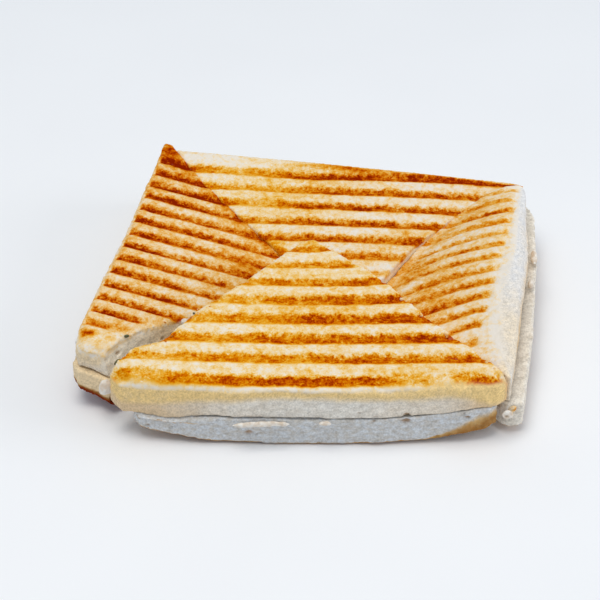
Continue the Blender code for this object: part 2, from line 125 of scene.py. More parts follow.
# %% The four wedges
WEDGES = {
    "left": dict(
        corners=((-46.0, 55.0), (-64.5, -51.0), (2.0, -5.5)),
        heights=(23.5, 22.0, 14.0), fall=1.0, bulge=0.5,
        outer=[(-44.2, 59.2), (-45.8, 59.2), (-54.8, 2.4), (-64.8, -48.3), (-63.2, -52.6), (-56.6, -53.8)],
        cut=[(-56.6, -53.8), (-47.6, -44.4), (-30, -31), (0.8, -7.6), (-1.1, -4.4), (-5.9, 1.1),
             (-19.4, 19.7), (-31.2, 36.3), (-43, 56.6)],
        angle=-13.0, pitch=7.1, first=-42.4, bare=0.4, between=0.34, flat=0.07, golden=0.15,
        yellower=[(-60, -50, 9, 6, 0, .5)], tan=0.6,
        marks={1: (1.0, 1.7), 2: (1.02, 1.7), 3: (1.0, 1.7), 4: (1.0, 1.6), 5: (.96, 1.6),
               6: (.95, 1.6), 7: (.97, 1.6), 8: (.98, 1.5), 9: (.92, 1.6), 10: (.94, 1.6),
               11: (.93, 1.5), 12: (.86, 1.5), 13: (.86, 1.5), 14: (.84, 1.4), 15: (.74, 1.3)},
        patches=[(-44, 55, 5, 6, 0, .45, 0), (-38, 46, 8, 4, -50, .3, 0), (-27, 31, 7, 3.5, -50, .36, 0),
                 (-20, 22, 6, 3, -50, .4, 0), (-12, 10, 6, 3.5, -50, .4, 0), (-16, -7, 5, 4, 0, .25, 0),
                 (-49, 35, 7, 22, -10, .1, .02), (-55, 0, 9, 60, -12, 0, .08),
                 (-18, 5, 16, 34, 0, .04, -.13), (-34, -14, 10, 30, 0, -.06, -.1),
                 (-60, -53, 8, 6.5, 0, -.14, -1.2), (-52, -49, 8, 5, 30, -.08, -1.2),
                 (-44, -42, 6, 4, 30, -.05, -.6), (-61, -47, 2.2, 1.2, -15, .75, 0),
                 (-52, -44, 3, 1.4, 10, .2, 0), (-50, -33, 11, 9, 0, 0, .12)],
        bends=[(-43, 53, 12, 9, 1.6), (-58, -45, 13, 10, 2.4)],
    ),
    "back": dict(
        corners=((-41.5, 54.0), (65.0, 36.0), (16.5, -23.5)),
        heights=(22.5, 21.5, 13.8), fall=1.0, bulge=0.5,
        outer=[(73, 36.6), (16.5, 46.4), (-42, 56.8)],
        cut=[(-42, 56.8), (-30.8, 37), (-18.9, 20.3), (-5.2, 1.8), (14, -22), (18.6, -22), (24.5, -11.2),
             (36.4, 6.4), (51.2, 22), (61, 30.4), (73, 36.6)],
        angle=-4.2, pitch=7.84, first=-48.3, bare=0.2, between=0.155, flat=0.2, golden=0.35,
        yellower=[(-20, 35, 28, 26, 0, .75), (-8, 4, 6, 5, 0, .6)], tan=0.3,
        marks={1: (.93, 2.0), 2: (.84, 1.8), 3: (.86, 1.8), 4: (.82, 1.8), 5: (.86, 1.8),
               6: (.78, 1.9), 7: (.6, 1.7)},
        patches=[(-30, 50, 18, 5, -10, -.14, -.36), (-20, 43, 12, 8, -20, .02, -.24),
                 (-12, 28, 10, 10, -30, .10, -.22), (50, 38, 26, 2.2, -9, .62, .1),
                 (14, 44.5, 14, 2.2, -9, .4, 0), (6, 38, 16, 7, 0, .16, 0),
                 (2, 25, 12, 8, 0, .14, 0), (34, 9, 8, 5, 0, .2, .04), (-9, 8, 7, 3, -55, .2, -.1),
                 (24, -8, 9, 6, 0, -.1, -.1), (13, -19, 6, 4, 0, .12, .2), (19.6, -2, 6, 3, 0, .18, 0),
                 (-8, 4, 4, 2.5, -55, .3, 0), (26, 3, 8, 4, 0, .16, 0), (56, 29, 12, 8, 0, .02, 0),
                 (-18, 32, 22, 20, 0, 0, -.08)],
        bends=[(-36, 47, 20, 9, 2.6), (-24, 30, 15, 8, 1.0), (8, 44, 14, 5, -.8), (45, 38, 22, 5, .7)],
    ),
    "right": dict(
        corners=((64.0, 35.5), (58.8, -64.0), (17.0, -26.0)),
        heights=(21.0, 21.0, 9.5), fall=1.3, bulge=4.0,
        outer=[(59.4, -65.6), (65, -36), (69.6, -9), (73.6, 31.2), (73.5, 35.2)],
        cut=[(73.5, 35.2), (61.6, 29.8), (51.8, 21.5), (38.4, 7.6), (25.4, -11.6), (19.5, -22.2),
             (26.2, -28.8), (39.2, -43.8), (59.4, -65.6)],
        angle=3.0, pitch=6.62, first=-32.7, bare=0.0, between=0.2, flat=0.15, golden=0.25,
        yellower=[(62, -15, 8, 40, -8, .3)], tan=0.0,
        tanner=[(62, -50, 9, 22, 0, .4), (72.5, -8, 4, 16, 0, .35)],
        marks={1: (.52, 1.2), 2: (.6, 1.2), 3: (.68, 1.2), 4: (.66, 1.2), 5: (.6, 1.2),
               6: (.62, 1.2), 7: (.64, 1.4), 8: (.68, 1.4), 9: (.68, 1.4), 10: (.76, 1.5),
               11: (.7, 1.4), 12: (.68, 1.4), 13: (.62, 1.4), 14: (.6, 1.4)},
        patches=[(37, -17, 11, 15, 20, .28, .02), (33, -3, 8, 9, -40, .16, -.06), (53, 21, 9, 9, -40, .24, 0),
                 (45, 9, 8, 6, -40, .1, -.06), (40, -31, 6, 5, 0, .16, .06), (62, -40, 8, 20, -14, -.2, -.1),
                 (71, 10, 3.5, 40, -5, -.2, -.2), (33.6, -16, 3.6, 2, 20, -.35, -.35)],
        bends=[(59, 0, 9, 24, -1.4), (42, 2, 8, 6, -1.0), (53, -46, 12, 8, 1.0)],
    ),
    "front": dict(
        corners=((-53.0, -64.5), (58.0, -66.5), (2.5, -9.0)),
        heights=(22.0, 22.0, 28.2), fall=0.9, bulge=-1.0,
        outer=[(-53.6, -64), (-50.5, -67.6), (-25, -71.2), (3, -72.4), (30, -72), (54.5, -69.4),
               (58, -67.2)],
        cut=[(58, -67.2), (37.6, -45), (24.3, -26.8), (3.6, -7.8), (1.4, -7.8), (-15.4, -25.8),
             (-30.2, -40.6), (-39.4, -52.6), (-48, -56.2), (-53.6, -64)],
        angle=-0.9, pitch=8.03, first=-52.2, bare=-1.2, between=0.19, flat=0.4, golden=0.82,
        yellower=[(-28, -52, 32, 26, 0, .3)], tan=1.0,
        marks={8: (.72, 1.5), 9: (.69, 1.9), 10: (.73, 1.9), 11: (.76, 2.1), 12: (.81, 2.3),
               13: (.79, 2.1), 14: (.76, 2.0), 15: (.80, 2.1)},
        patches=[(2.5, -9.5, 5, 3, 0, .25, 0), (-26, -46, 15, 28, -40, .0, -.22),
                 (10, -38, 16, 12, 30, .1, .02), (2, -68, 20, 4, 0, 0, .06), (33, -68, 9, 4, 0, .04, -.32),
                 (41, -68, 4, 4, 0, 0, -.24), (53.5, -67.6, 6.5, 4, 0, .04, .22),
                 (-48, -67, 7, 4, 0, 0, -.22), (-34, -66, 16, 6, 0, -.02, -.08),
                 (-2, -41, 14, 4, 0, .1, 0), (-8, -24, 8, 8, 0, .06, 0), (-42, -58, 10, 4, 0, .06, -.06),
                 (30, -66, 30, 4, 0, .08, 0), (-9.5, -19, 5, 1.6, 50, -.2, -.35),
                 (17, -20, 4, 1.5, -48, -.2, -.3)],
        bends=[(2.5, -11, 8, 6, -1.2), (0, -68, 24, 4, -1.2), (30, -34, 12, 14, .6), (-47, -66, 10, 4, 2.1)],
    ),
}
MARK_ENDS = {"right": [(51, -50), (61, -15), (71.5, 30)]}
print("marks:", {name: len(wedge["marks"]) for name, wedge in WEDGES.items()})

# %% [markdown]
# The colours have to know where a point lies on its slice. The heights of the toasted top, the seam
# and the underside are worked out from the plan. What lies at the top is crust, and what lies well
# below it is the crumb of a cut or an outer side.

# %% Heights of a wedge
FRONT_EDGE_Y, FRONT_SLOPE = -71.0, 0.281
FRONT_MIDDLE_X, FRONT_CURL_FROM, FRONT_CURL_OVER, FRONT_CURL_HEIGHT = 4.0, 24.0, 30.0, 3.0
MIDDLE_X, CURL_FROM, CURL_OVER, CURL_HEIGHT = 5.6, 40.0, 31.0, 6.2
SEAM_SHARE = 0.46


def top_height(wedge, points):
    """Height of a wedge's toasted top above the floor, in millimetres."""
    (ax, ay), (bx, by), (tx, ty) = wedge["corners"]
    height_a, height_b, height_tip = wedge["heights"]
    x, y = points[:, 0], points[:, 1]
    whole = (by - ty) * (ax - tx) + (tx - bx) * (ay - ty)
    share_a = ((by - ty) * (x - tx) + (tx - bx) * (y - ty)) / whole
    share_b = ((ty - ay) * (x - tx) + (ax - tx) * (y - ty)) / whole
    outwards = np.clip(share_a + share_b, 1e-4, 1.0)
    sideways = np.clip(share_b / np.maximum(share_a + share_b, 1e-4), 0.0, 1.0)
    edge = height_a + (height_b - height_a) * sideways + wedge["bulge"] * 4.0 * sideways * (1.0 - sideways)
    return height_tip + (edge - height_tip) * (1.0 - (1.0 - outwards) ** wedge["fall"])


def under_height(name, points):
    """Height of a wedge's underside: the front one slopes up, the others curl up at the sides."""
    x, y = points[:, 0], points[:, 1]
    if name == "front":
        sloped = np.maximum(y - FRONT_EDGE_Y, 0.0) * FRONT_SLOPE
        curled = smooth((np.abs(x - FRONT_MIDDLE_X) - FRONT_CURL_FROM) / FRONT_CURL_OVER)
        return sloped + FRONT_CURL_HEIGHT * curled
    return CURL_HEIGHT * (np.maximum(np.abs(x - MIDDLE_X) - CURL_FROM, 0.0) / CURL_OVER) ** 1.8


def seam_height(name, wedge, points):
    """Height of the seam between a wedge's two slices."""
    low = under_height(name, points)
    return low + SEAM_SHARE * (top_height(wedge, points) - low)


def spots(points, places):
    """Soft round spots added up: middle, half sizes, turn in degrees, amount."""
    total = np.zeros(len(points))
    for x, y, half_x, half_y, turn, amount in places:
        spin = math.radians(turn)
        dx, dy = points[:, 0] - x, points[:, 1] - y
        u = (dx * math.cos(spin) + dy * math.sin(spin)) / half_x
        v = (-dx * math.sin(spin) + dy * math.cos(spin)) / half_y
        total += amount * np.exp(-(u * u + v * v))
    return total


def mark_number(wedge, points, bent=True):
    """Which grill mark a point is at, counted from the back, with its fraction."""
    turn = math.radians(wedge["angle"])
    across = math.sin(turn) * points[:, 0] - math.cos(turn) * points[:, 1]
    if bent:
        across += spots(points, [(*bend[:4], 0, bend[4]) for bend in wedge["bends"]])
    return (across - wedge["first"]) / wedge["pitch"]


print("heights of the outer edges:", {name: wedge["heights"][:2] for name, wedge in WEDGES.items()})

# %% [markdown]
# A slice starts as a copy of its CAD node, whose loose triangles are merged. Subdividing it would keep
# the CAD's long strips, so a voxel remesh gives it an even, fine skin instead. That is what bread needs:
# its unevenness goes everywhere, across corners too.

# %% Copy a node and give it a fine skin
def select_only(piece):
    """Makes this piece the one that the operators act on."""
    bpy.ops.object.select_all(action="DESELECT")
    piece.select_set(True)
    bpy.context.view_layer.objects.active = piece


def copy_of(node, name):
    """A copy of a CAD node with a mesh of its own and its triangles merged."""
    piece = bpy.data.objects.new(name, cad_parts[node].data.copy())
    bpy.context.scene.collection.objects.link(piece)
    piece.data.materials.clear()
    select_only(piece)
    bpy.ops.object.mode_set(mode="EDIT")
    bpy.ops.mesh.select_all(action="SELECT")
    bpy.ops.mesh.remove_doubles(threshold=1e-6)
    bpy.ops.object.mode_set(mode="OBJECT")
    return piece


def finish_with(piece, kind, **settings):
    """Adds a modifier with its settings and applies it."""
    modifier = piece.modifiers.new(kind.title(), kind)
    for setting, value in settings.items():
        setattr(modifier, setting, value)
    select_only(piece)
    bpy.ops.object.modifier_apply(modifier=modifier.name)


def fine_skin(piece, voxel):
    """Replaces a piece's mesh by even faces about as wide as a voxel, in metres."""
    finish_with(piece, "REMESH", mode="VOXEL", voxel_size=voxel, use_smooth_shade=True)


# %% [markdown]
# Bread is never flat. Moving its vertices by hand would take days, so three noises push its skin in and
# out: a slow one, which makes the sides wavy, a rough one for the crumb, and a fine grain for the crust.
# A vertex group says where each of them works.

# %% Uneven bread
GROUP_STEPS = 8


def noise_texture(name, size, depth):
    """A cloudy noise whose lumps are about this size, in metres."""
    texture = bpy.data.textures.new(name, "CLOUDS")
    texture.noise_scale = size
    texture.noise_depth = depth
    return texture


WAVES = noise_texture("slow waves", 0.009, 1)
ROUGH = noise_texture("rough crumb", 0.0022, 3)
GRAIN = noise_texture("fine grain", 0.0011, 2)


def group_of(piece, name, weights):
    """A vertex group whose weights are these, in eight steps."""
    group = piece.vertex_groups.new(name=name)
    for step in range(1, GROUP_STEPS + 1):
        low, high = (step - 1) / GROUP_STEPS, step / GROUP_STEPS
        chosen = np.nonzero((weights > low) & (weights <= high))[0]
        group.add([int(i) for i in chosen], high, "REPLACE")
    return group.name


def push(piece, texture, strength, group):
    """Pushes the skin in and out by a noise, in metres, where the vertex group says so."""
    finish_with(piece, "DISPLACE", texture=texture, strength=strength, mid_level=0.5, vertex_group=group)


print("noises:", [texture.name for texture in (WAVES, ROUGH, GRAIN)])


# %% [markdown]
# Where bread was cut or pulled, its pores show as small pits. Pressing flattened them, so each pit is
# wider than high. A noise would blur them, so they are pushed in one by one at seeded places, which
# keeps them crisp.

# %% Pores
PIT_FLATNESS = 1.9


def press_pits(piece, middles, radii, depths):
    """Pushes pits into the skin around these vertices, and gives back how deep each vertex went."""
    mesh = piece.data
    points, normals = plan_points(mesh), vertex_normals(mesh)
    squeezed = points * (1.0, 1.0, PIT_FLATNESS)
    tree = kdtree.KDTree(len(points))
    for index, place in enumerate(squeezed):
        tree.insert(place, index)
    tree.balance()
    moved, pit = points.copy(), np.zeros(len(points))
    for middle, radius, depth in zip(middles, radii, depths):
        for _, index, far in tree.find_range(squeezed[middle], radius):
            fall = depth * (1.0 - (far / radius) ** 2) ** 1.5
            moved[index] -= normals[middle] * fall
            pit[index] = max(pit[index], fall)
    write_points(mesh, moved)
    return pit


def press_pores(piece, groups, seed):
    """Each group: where pores may be, how many, and ranges of radius and depth in millimetres."""
    chance = np.random.default_rng(seed)
    middles, radii, depths = [], [], []
    for allowed, count, radius, depth in groups:
        middles += list(chance.choice(np.nonzero(allowed)[0], count))
        radii += list(chance.uniform(*radius, count))
        depths += list(chance.uniform(*depth, count))
    return press_pits(piece, middles, radii, depths)


def press_holes(piece, places):
    """Pits at known places: plan position, radius and depth, in millimetres."""
    points = plan_points(piece.data)
    middles = [int(np.argmin(np.linalg.norm(points - place, axis=1))) for *place, _, _ in places]
    return press_pits(piece, middles, [place[3] for place in places], [place[4] for place in places])


def give(piece, name, values):
    """Stores one number for each vertex, which a material can read."""
    layer = piece.data.attributes.new(name, "FLOAT", "POINT")
    layer.data.foreach_set("value", np.asarray(values, np.float32))


# %% [markdown]
# ## Toasted top slices
# The CAD's marks are straight grooves, all alike. The real ones are as uneven as their browning, and
# grooves that ran beside their colour would look wrong. So the copies have the plain grooves filled and
# their own pressed in, from the same numbers as the colour: wide and deep where the grill browned the
# bread, and nearly gone where it stayed pale.

# %% Browning and grooves
GROOVE_DEPTH, GROOVE_WIDTH = 0.7, 1.35
PLAIN_DEPTH, PLAIN_HALF_WIDTH, PLAIN_ENDS = 0.8, 2.2, 3.0
USUAL_HALF_WIDTH = 1.5


def to_mark_ends(name, points):
    """How far inside the line where the right wedge's marks end, in millimetres."""
    ends = MARK_ENDS[name]
    return np.interp(points[:, 1], [y for _, y in ends], [x for x, _ in ends]) - points[:, 0]


def marked_share(name, wedge, points):
    """1 where the marks run, 0 on the bare shoulder along the outer side."""
    if name in MARK_ENDS:
        return smooth(to_mark_ends(name, points) / 1.6 + 0.5)
    return smooth((distance_to_line(wedge["outer"], points) - wedge["bare"]) / 1.2)


def browning(name, wedge, points):
    """Mark number, how brown the marks are, their half width in pitches, and the toasting between."""
    number = mark_number(wedge, points)
    nearest = np.rint(number).astype(int)
    brown, half = np.zeros(len(points)), np.full(len(points), USUAL_HALF_WIDTH)
    for mark, (strong, width) in wedge["marks"].items():
        brown[nearest == mark] = strong
        half[nearest == mark] = width
    patches = wedge["patches"]
    between = wedge["between"] + spots(points, [patch[:6] for patch in patches])
    brown = brown + np.where(brown > 0, spots(points, [(*patch[:5], patch[6]) for patch in patches]), 0.0)
    brown = np.maximum(brown, 0.0) * marked_share(name, wedge, points)
    return number, brown, half / wedge["pitch"], between


def plain_grooves(name, wedge, points):
    """Depth of the CAD's straight grooves, in millimetres."""
    number = mark_number(wedge, points, bent=False)
    nearest = np.rint(number).astype(int)
    off = np.abs(number - nearest) * wedge["pitch"]
    if name in MARK_ENDS:
        bare = to_mark_ends(name, points)
    else:
        bare = distance_to_line(wedge["outer"], points)
    known = (nearest >= min(wedge["marks"])) & (nearest <= max(wedge["marks"]))
    return known * PLAIN_DEPTH * np.maximum(0.0, 1.0 - off / PLAIN_HALF_WIDTH) * smooth(bare / PLAIN_ENDS)


def move(piece, offsets_mm):
    """Moves every vertex by its own offset."""
    write_points(piece.data, plan_points(piece.data) + offsets_mm)


def press_marks(piece, name, wedge):
    """Fills the plain grooves of a top slice and presses its own marks in."""
    points = plan_points(piece.data)
    number, brown, half, _ = browning(name, wedge, points)
    off = np.abs(number - np.rint(number)) / half
    groove = GROOVE_DEPTH * np.clip(brown, 0, 1) * smooth(GROOVE_WIDTH - off)
    near_top = smooth(1.0 - (top_height(wedge, points) - points[:, 2] - 1.0) / 4.0)
    lift = np.zeros_like(points)
    lift[:, 2] = (plain_grooves(name, wedge, points) - groove) * near_top
    move(piece, lift)


# %% [markdown]
# Where two slices were pressed together, the bread closes over the filling at the edges. A narrower slot
# would leave the rims as sharp as a cut. So the lower rim of a top slice and the upper rim of a bottom
# slice are drawn together there, a little unevenly, which leaves a thin crevice with soft lips. The front
# wedge's seam hangs lower at its left end, and is closed more tightly at its right one. Where the left
# wedge was pulled away from the front one, its torn wall slopes outwards.

# %% Seams and the torn wall
SEAM_REACH, RIM_REACH = 3.0, 5.0
FRONT_SAG, FRONT_RIGHT_LIFT = 3.2, 0.3
FRONT_LIP, FRONT_LIP_Y = 0.6, -60.0
OPEN_CUT = [(-56.6, -53.8), (-47.6, -44.4), (-30, -31), (-6, -12.8)]
LEAN_BY, LEAN_REACH = 5.0, 3.5
LEAN_TOP, LEAN_HEIGHT = 19.0, 17.0
LEAN_WAY = (0.606, -0.795)


def close_seam(piece, name, wedge, way, amount):
    """Draws a slice's rim to the seam by an amount: way is -1 for a top slice, 1 for a bottom one."""
    points = plan_points(piece.data)
    rim = np.minimum(distance_to_line(wedge["outer"], points), distance_to_line(wedge["cut"], points))
    from_seam = (seam_height(name, wedge, points) - points[:, 2]) * way
    near = smooth(1.0 - (from_seam - 0.8) / SEAM_REACH) * smooth(1.0 - rim / RIM_REACH)
    closed = 0.8 + 0.2 * np.sin(0.41 * points[:, 0] + 1.3) * np.sin(0.37 * points[:, 1] + way)
    offset = np.zeros_like(points)
    offset[:, 2] = way * amount * near * closed
    if name == "front":
        offset[:, 2] -= FRONT_SAG * near * smooth((-20.0 - points[:, 0]) / 20.0)
        if way == 1:
            offset[:, 1] -= FRONT_LIP * near * (points[:, 1] < FRONT_LIP_Y)
            offset[:, 2] += FRONT_RIGHT_LIFT * near * smooth((points[:, 0] - 18.0) / 16.0)
    move(piece, offset)


def lean(piece):
    """Slopes the left wedge's wall at the open gap outwards, its low parts the most."""
    points = plan_points(piece.data)
    near = smooth(1.0 - distance_to_line(OPEN_CUT, points) / LEAN_REACH)
    near = near * smooth((-9.0 - points[:, 0]) / 14.0)
    offset = np.zeros_like(points)
    outwards = LEAN_BY * near * np.clip((LEAN_TOP - points[:, 2]) / LEAN_HEIGHT, 0.0, 1.0)
    offset[:, 0], offset[:, 1] = LEAN_WAY[0] * outwards, LEAN_WAY[1] * outwards
    move(piece, offset)


print("the torn wall leans out by up to", LEAN_BY, "mm")

# %% [markdown]
# The knife left hardly any space between most of the wedges: their crusts meet edge to edge. The CAD
# keeps its solids apart, and a dark slot would show there. So the walls of those cuts are spread
# outwards, and their rounded upper edges are raised again. The far corner of the left wedge stands up as
# a small dark knob.

# %% Spread the cuts that touch
TOUCHING = {
    "left": [([(-5.9, 1.1), (-19.4, 19.7), (-31.2, 36.3), (-43, 56.6)], 0.5)],
    "back": [([(-42, 56.8), (-30.8, 37), (-18.9, 20.3), (-5.2, 1.8)], 0.45),
             ([(24.5, -11.2), (36.4, 6.4)], 0.5), ([(36.4, 6.4), (51.2, 22), (61, 30.4), (73, 36.6)], 0.8)],
    "right": [([(73.5, 35.2), (61.6, 29.8), (51.8, 21.5), (38.4, 7.6)], 0.8),
              ([(38.4, 7.6), (25.4, -11.6)], 0.5)],
    "front": [([(58, -67.2), (37.6, -45), (24.3, -26.8), (3.6, -7.8)], 0.2)],
}
SPREAD_REACH, SPREAD_HEIGHT = 2.0, 2.5
EDGE_LIFT = 0.45
CORNER_KNOB = (-44.8, 57.6, 2.2, 3.2, 0, 0.6)


def spread(piece, name, wedge):
    """Moves the walls of the cuts that touch outwards, each line by its own amount."""
    points = plan_points(piece.data)
    offset = np.zeros_like(points)
    high = smooth(1.0 - (top_height(wedge, points) - points[:, 2]) / SPREAD_HEIGHT)
    for line, amount in TOUCHING[name]:
        for start, end in zip(line, line[1:]):
            way = np.array(end, float) - start
            way /= np.linalg.norm(way)
            near = smooth(1.0 - distance_to_line([start, end], points) / SPREAD_REACH)
            wanted = amount * near[:, None] * np.array((way[1], -way[0]))
            larger = np.linalg.norm(wanted, axis=1) > np.linalg.norm(offset[:, :2], axis=1)
            offset[larger, :2] = wanted[larger]
            offset[:, 2] = np.maximum(offset[:, 2], EDGE_LIFT * near * high)
    if name == "left":
        offset[:, 2] += spots(points, [CORNER_KNOB]) * high
    move(piece, offset)


def away_from_touching(name, points):
    """0 at the cuts that touch, 1 a few millimetres from them."""
    near = [distance_to_line(line, points) for line, _ in TOUCHING[name]]
    return smooth((np.min(near, axis=0) - 1.0) / 2.5)


def keep_inside(piece):
    """No vertex leaves the CAD's box."""
    low, high = (np.array(corner) * MM_PER_METRE + PLAN_ORIGIN for corner in CAD_BOX)
    points = plan_points(piece.data)
    move(piece, np.clip(points, low, high) - points)


print("cuts that touch:", sum(len(lines) for lines in TOUCHING.values()))

# %% [markdown]
# The toasted face ends in a soft shoulder along the outer sides, and in raw crumb where the knife went.
# A picture could hold those colours, but numbers on the vertices follow every bump of the mesh: how far
# a vertex lies below the toasted face, whether it is at an outer side or a cut, and how brown it is.
# `PALE_DEPTH` moves the end of the toasted face down, and `TAN_DEPTH` lets the tan of the shoulder run
# down further.

# %% Numbers for the crust
def outer_share(wedge, points):
    """1 at the outer sides, 0 at the knife cuts."""
    outer, cut = distance_to_line(wedge["outer"], points), distance_to_line(wedge["cut"], points)
    return smooth((cut - outer) / 2.0 + 0.5)


PALE_DEPTH = {"left": [(-60, -54, 8, 8, 0, 2.5), (-5, 1, 6, 6, 0, 3.0)], "back": [(-8, 4, 6, 6, 0, 3.0)],
              "right": [(64, -34, 6, 28, -10, -3.2), (71, 5, 3.5, 30, -5, -2.6)],
              "front": [(-50, -68, 26, 10, 0, 1.7), (42, -70, 8, 8, 0, -0.8),
                        (57, -68, 8, 12, 0, 0.6)]}
TAN_DEPTH = {"left": [(-64, -46, 6, 12, 0, 2.0), (-40, -38.5, 9, 7, 0, 4.5)],
             "back": [],
             "right": [(64, -46, 8, 22, 0, 5.0), (71.5, -6, 6, 20, 0, 5.0)],
             "front": [(-50, -68, 26, 10, 0, 5.0), (56, -68, 9, 12, 0, 7.0), (36, -71, 14, 6, 0, 1.6)]}


def give_crust_numbers(slice_, name, wedge, points, pit):
    """Stores what the crust's material reads. The points are those from before the pits."""
    number, brown, half, between = browning(name, wedge, points)
    below = top_height(wedge, points) - points[:, 2]
    give(slice_, "mark", number)
    give(slice_, "browned", brown)
    give(slice_, "half", half)
    give(slice_, "between", between)
    give(slice_, "golden", np.clip(wedge["golden"] + spots(points, wedge["yellower"]), 0.0, 1.0))
    give(slice_, "tan", wedge["tan"] + spots(points, wedge.get("tanner", [])))
    give(slice_, "flat", np.full(len(points), wedge["flat"]))
    give(slice_, "below", np.clip(below - spots(points, PALE_DEPTH[name]), -2.0, 14.0))
    give(slice_, "tan_depth", spots(points, TAN_DEPTH[name]))
    give(slice_, "outer", outer_share(wedge, points))
    give(slice_, "pit", pit)


# %% [markdown]
# A top slice is a triangle of bread, baked hard on its face and soft at its sides. Each is made step by
# step: marked, pressed at the seam, spread at the cuts, then roughened and pitted. The pits come last,
# so that no noise blurs them.

# %% Top slices
TOP_VOXEL = 0.00042
TOP_CLOSE = 0.75
TOP_WAVES, TOP_GRAIN = 0.0009, 0.0004
TORN_ROUGHNESS, CUT_ROUGHNESS = 0.0008, 0.0005
SEAM_HOLES = [(16.4, -72.4, 11.9, 0.8, 0.7), (21, -72.2, 10.8, 0.9, 0.8), (30, -71.8, 10.6, 1.6, 1.0)]


def top_slice(name, wedge):
    """One wedge's top slice, with the numbers that the crust's material reads."""
    slice_ = copy_of(f"{name}_top_bread", f"{name}_top_slice")
    fine_skin(slice_, TOP_VOXEL)
    press_marks(slice_, name, wedge)
    close_seam(slice_, name, wedge, -1, TOP_CLOSE)
    spread(slice_, name, wedge)
    if name == "left":
        lean(slice_)
    points, normals = plan_points(slice_.data), vertex_normals(slice_.data)
    side = smooth((0.75 - normals[:, 2]) / 0.5)
    loose = side * smooth((normals[:, 2] + 0.7) / 0.4) * (0.15 + 0.85 * away_from_touching(name, points))
    push(slice_, WAVES, TOP_WAVES, group_of(slice_, "sides", loose))
    push(slice_, ROUGH, TORN_ROUGHNESS if name == "left" else CUT_ROUGHNESS, "sides")
    push(slice_, GRAIN, TOP_GRAIN, group_of(slice_, "top", 1.0 - side))
    keep_inside(slice_)
    points = plan_points(slice_.data)
    below = top_height(wedge, points) - points[:, 2]
    outer = outer_share(wedge, points)
    cut_wall = (side > 0.9) & (below > 2.0) & (outer < 0.5)
    outer_wall = (side > 0.9) & (below > 4.5) & (outer > 0.5)
    cut_pores = (cut_wall, 150, (0.4, 1.6), (0.2, 0.9))
    outer_pores = (outer_wall, 50, (0.3, 0.8), (0.1, 0.35))
    pit = press_pores(slice_, [cut_pores, outer_pores], seed=len(name))
    if name == "front":
        pit = np.maximum(pit, press_holes(slice_, SEAM_HOLES))
    give_crust_numbers(slice_, name, wedge, points, pit)
    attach(slice_, "root")
    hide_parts(f"{name}_top_bread")
    print(slice_.name, len(slice_.data.vertices), "vertices")
    return slice_


TOPS = {name: top_slice(name, wedge) for name, wedge in WEDGES.items()}

# %% [markdown]
# ## Bottom slices
# The bottom slices show only at their sides, as pale crumb. Their lower edge took colour from the
# grill's lower half: a thin line on most, a wider one on the left wedge, and a wide patch where the
# right corner of the front wedge curled up. They are made as the top slices are, but with larger faces,
# since they have no marks.

# %% Bottom slices
BOTTOM_VOXEL = 0.00056
BOTTOM_CLOSE = 0.65
BOTTOM_WAVES, BOTTOM_ROUGHNESS, BOTTOM_GRAIN = 0.0008, 0.0006, 0.0004
CURLED_CORNER = (56, -68, 14, 14, 0, 7.5)
SOLE_BAND = {"left": 3.0, "back": 0.8, "right": 0.7, "front": 0.8}
SOLE_BROWN = {"left": 1.1, "back": 0.5, "right": 0.45, "front": 0.6}
# A tan below 0, as in front, paints shade and a bluish reflection on the crumb. A tan above 0 warms it.
BOTTOM_TAN_AND_PAINTED_SHADE = {"left": 1.0, "back": 0.3, "right": 0.1, "front": -1.0}
SIDE_HOLES = [(-14.5, -72.2, 4.4, 1.9, 0.9), (-43, -69.5, 5.5, 1.1, 0.7), (20.8, -72, 8.8, 0.9, 0.7),
              (30, -71.8, 8.4, 1.9, 1.4), (47, -70.3, 9.2, 1.2, 0.9)]


def bottom_slice(name, wedge):
    """One wedge's bottom slice, with the numbers that the crumb's material reads."""
    slice_ = copy_of(f"{name}_bottom_bread", f"{name}_bottom_slice")
    fine_skin(slice_, BOTTOM_VOXEL)
    close_seam(slice_, name, wedge, 1, BOTTOM_CLOSE)
    if name == "left":
        lean(slice_)
    normals = vertex_normals(slice_.data)
    side = smooth((0.85 - np.abs(normals[:, 2])) / 0.4)
    push(slice_, WAVES, BOTTOM_WAVES, group_of(slice_, "sides", side))
    push(slice_, ROUGH, BOTTOM_ROUGHNESS, "sides")
    push(slice_, GRAIN, BOTTOM_GRAIN, "sides")
    keep_inside(slice_)
    points = plan_points(slice_.data)
    pores = (side > 0.9, 110, (0.3, 1.0), (0.1, 0.45))
    pit = press_pores(slice_, [pores], seed=10 + len(name))
    if name == "front":
        pit = np.maximum(pit, press_holes(slice_, SIDE_HOLES))
    height = points[:, 2] - under_height(name, points)
    band = SOLE_BAND[name] + spots(points, [CURLED_CORNER] if name == "front" else [])
    underside = smooth((-0.2 - normals[:, 2]) / 0.5)
    give(slice_, "sole", np.maximum(underside, smooth(1.3 - height / band)))
    give(slice_, "brown", np.full(len(points), SOLE_BROWN[name]))
    give(slice_, "tan", np.full(len(points), BOTTOM_TAN_AND_PAINTED_SHADE[name]))
    give(slice_, "pit", pit)
    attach(slice_, "root")
    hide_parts(f"{name}_bottom_bread")
    print(slice_.name, len(slice_.data.vertices), "vertices")
    return slice_


BOTTOMS = {name: bottom_slice(name, wedge) for name, wedge in WEDGES.items()}

# %% [markdown]
# ## Filling
# Between the slices runs a thin layer of cheese, butter and chopped vegetables. Only its edge shows,
# as a crevice with lumps in it. Modelling each lump would be wasted there, so the CAD layer gets a lumpy
# skin.

# %% Filling layers
FILLING_VOXEL = 0.00075
LUMPINESS = 0.0008


